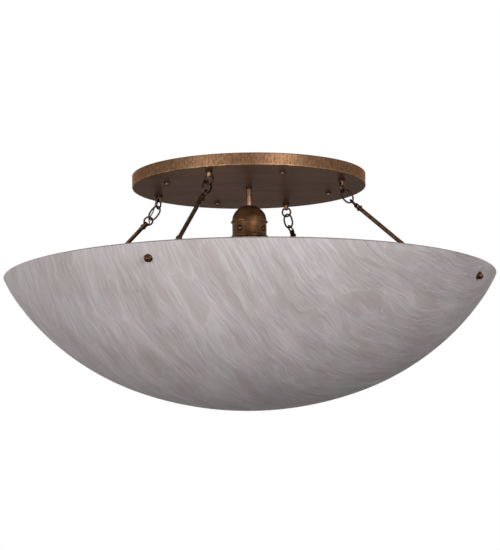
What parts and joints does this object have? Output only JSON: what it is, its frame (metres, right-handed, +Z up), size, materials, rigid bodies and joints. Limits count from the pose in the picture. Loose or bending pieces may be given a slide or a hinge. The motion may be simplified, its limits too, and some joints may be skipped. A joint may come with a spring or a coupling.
{
  "type": "semi flush ceiling light",
  "caption": "Wide shallow bowl hung by short chains and slanted rods from a flat ceiling pan, with a short stem and a lamp cluster above the bowl.",
  "frame": {"origin": "on the ceiling and on the light's axis, in the middle of the bracket's two box slots", "axes": "+Z up into the ceiling, along the light's axis; +X along the line of the two box slots"},
  "size_m": [0.9136, 0.9136, 0.439],
  "materials": {
    "brushed_copper": "antique copper, brushed up and down on the side",
    "bright_copper": "polished antique copper",
    "dark_bronze": "dark bronze with worn lighter patches",
    "plated_steel": "zinc plated",
    "green_steel": "green earth screw",
    "faux_alabaster": "warm grey with soft diagonal swirls, satin",
    "white_ceramic": "glazed white",
    "nickel": "plated",
    "lamp_glass": "frosted",
    "black_rubber": "matt black"
  },
  "bodies": {
    "ceiling_side": {"ceiling_bracket": "plated_steel", "ground_screw": "green_steel", "bracket_studs": "plated_steel", "pan": "brushed_copper", "ring_plate": "plated_steel", "cap_nuts": "dark_bronze", "chain_posts": "bright_copper", "post_nuts": "plated_steel", "stem": "bright_copper", "stem_nuts": "plated_steel", "cluster_dome": "dark_bronze", "cluster_body": "dark_bronze", "cluster_screws": "dark_bronze", "lamp_hub": "dark_bronze", "hub_finial": "dark_bronze", "lamp_nipples": "plated_steel", "lamp_holders": "white_ceramic", "bulb_bases": "nickel", "bulb_globes": "lamp_glass", "lead_bush": "black_rubber", "arm_lead": "black_rubber"},
    "bowl_unit": {"bowl": "faux_alabaster", "arm_rod_a": "dark_bronze", "arm_rod_b": "dark_bronze", "arm_rod_c": "dark_bronze", "arm_rod_d": "dark_bronze", "rod_eyes": "dark_bronze", "rod_collars": "dark_bronze", "arm_foot_a": "dark_bronze", "arm_foot_b": "dark_bronze", "arm_foot_c": "dark_bronze", "arm_foot_d": "dark_bronze", "foot_pads": "black_rubber", "knob_washers": "dark_bronze", "bowl_knobs": "dark_bronze"},
    "chain_a": {"upper_ring_a": "dark_bronze", "oval_link_a": "dark_bronze", "lower_ring_a": "dark_bronze"},
    "chain_b": {"upper_ring_b": "dark_bronze", "oval_link_b": "dark_bronze", "lower_ring_b": "dark_bronze"},
    "chain_c": {"upper_ring_c": "dark_bronze", "oval_link_c": "dark_bronze", "lower_ring_c": "dark_bronze"},
    "chain_d": {"upper_ring_d": "dark_bronze", "oval_link_d": "dark_bronze", "lower_ring_d": "dark_bronze"}
  },
  "joints": [
    {"name": "bowl_sway", "type": "hinge", "parent": "ceiling_side", "child": "bowl_unit", "pos_m": [0, 0, 0.2448], "axis": [0.3875, 0.9219, 0], "range_deg": [-0.8, 0.8], "deforming": ["arm_lead"]},
    {"name": "chain_a_swing", "type": "hinge", "parent": "ceiling_side", "child": "chain_a", "pos_m": [-0.17055, 0.07169, -0.031], "axis": [0.3875, 0.9219, 0], "range_deg": [-5.9, 5.9]},
    {"name": "chain_d_swing", "type": "hinge", "parent": "ceiling_side", "child": "chain_d", "pos_m": [0.17055, -0.07169, -0.031], "axis": [0.3875, 0.9219, 0], "range_deg": [-5.9, 5.9]},
    {"name": "chain_b_swing", "type": "hinge", "parent": "ceiling_side", "child": "chain_b", "pos_m": [-0.07222, -0.17182, -0.03883], "axis": [0.3816, 0.9079, -0.1736], "range_deg": [-6.4, 6.4]},
    {"name": "chain_c_swing", "type": "hinge", "parent": "ceiling_side", "child": "chain_c", "pos_m": [0.07222, 0.17182, -0.03883], "axis": [0.3816, 0.9079, 0.1736], "range_deg": [-6.4, 6.4]}
  ],
  "couplings": [
    {"joint": "chain_a_swing", "follows": "bowl_sway", "ratio": 7.284},
    {"joint": "chain_d_swing", "follows": "bowl_sway", "ratio": 7.284},
    {"joint": "chain_b_swing", "follows": "bowl_sway", "ratio": 7.916},
    {"joint": "chain_c_swing", "follows": "bowl_sway", "ratio": 7.916}
  ]
}
